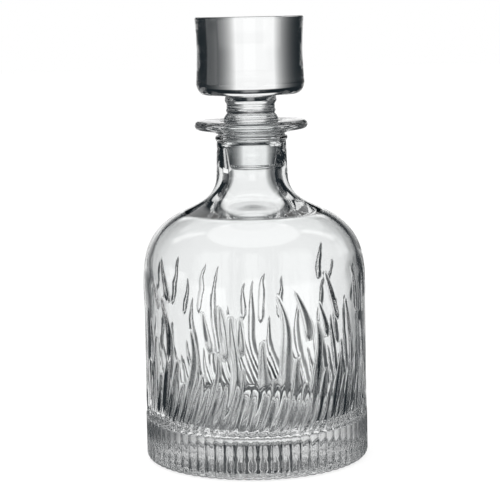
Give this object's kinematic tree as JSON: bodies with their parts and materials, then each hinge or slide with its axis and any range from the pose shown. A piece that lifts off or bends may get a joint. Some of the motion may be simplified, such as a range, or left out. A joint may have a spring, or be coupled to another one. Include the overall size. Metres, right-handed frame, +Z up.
{
  "type": "whisky decanter",
  "caption": "Clear cut-glass spirit decanter: round bottle with a domed shoulder, pointed wavy cuts and a star-cut base, closed by a solid glass stopper that lifts out.",
  "frame": {"origin": "on the bottle's axis, at the plane of the flat ring it stands on", "axes": "+Z up the axis towards the stopper; the picture looks along +Y, so -Y is the front, though the object has no real front"},
  "size_m": [0.1126, 0.1126, 0.2209],
  "materials": {
    "bottle_crystal": "clear fire-polished crystal with polished cuts",
    "stopper_crystal": "clear polished solid crystal, plug smooth"
  },
  "bodies": {
    "bottle": {"bottle": "bottle_crystal"},
    "stopper": {"stopper": "stopper_crystal"}
  },
  "joints": [
    {"name": "stopper_lift", "type": "slide", "parent": "bottle", "child": "stopper", "axis": [0, 0, 1], "range_m": [0, 0.06]}
  ]
}
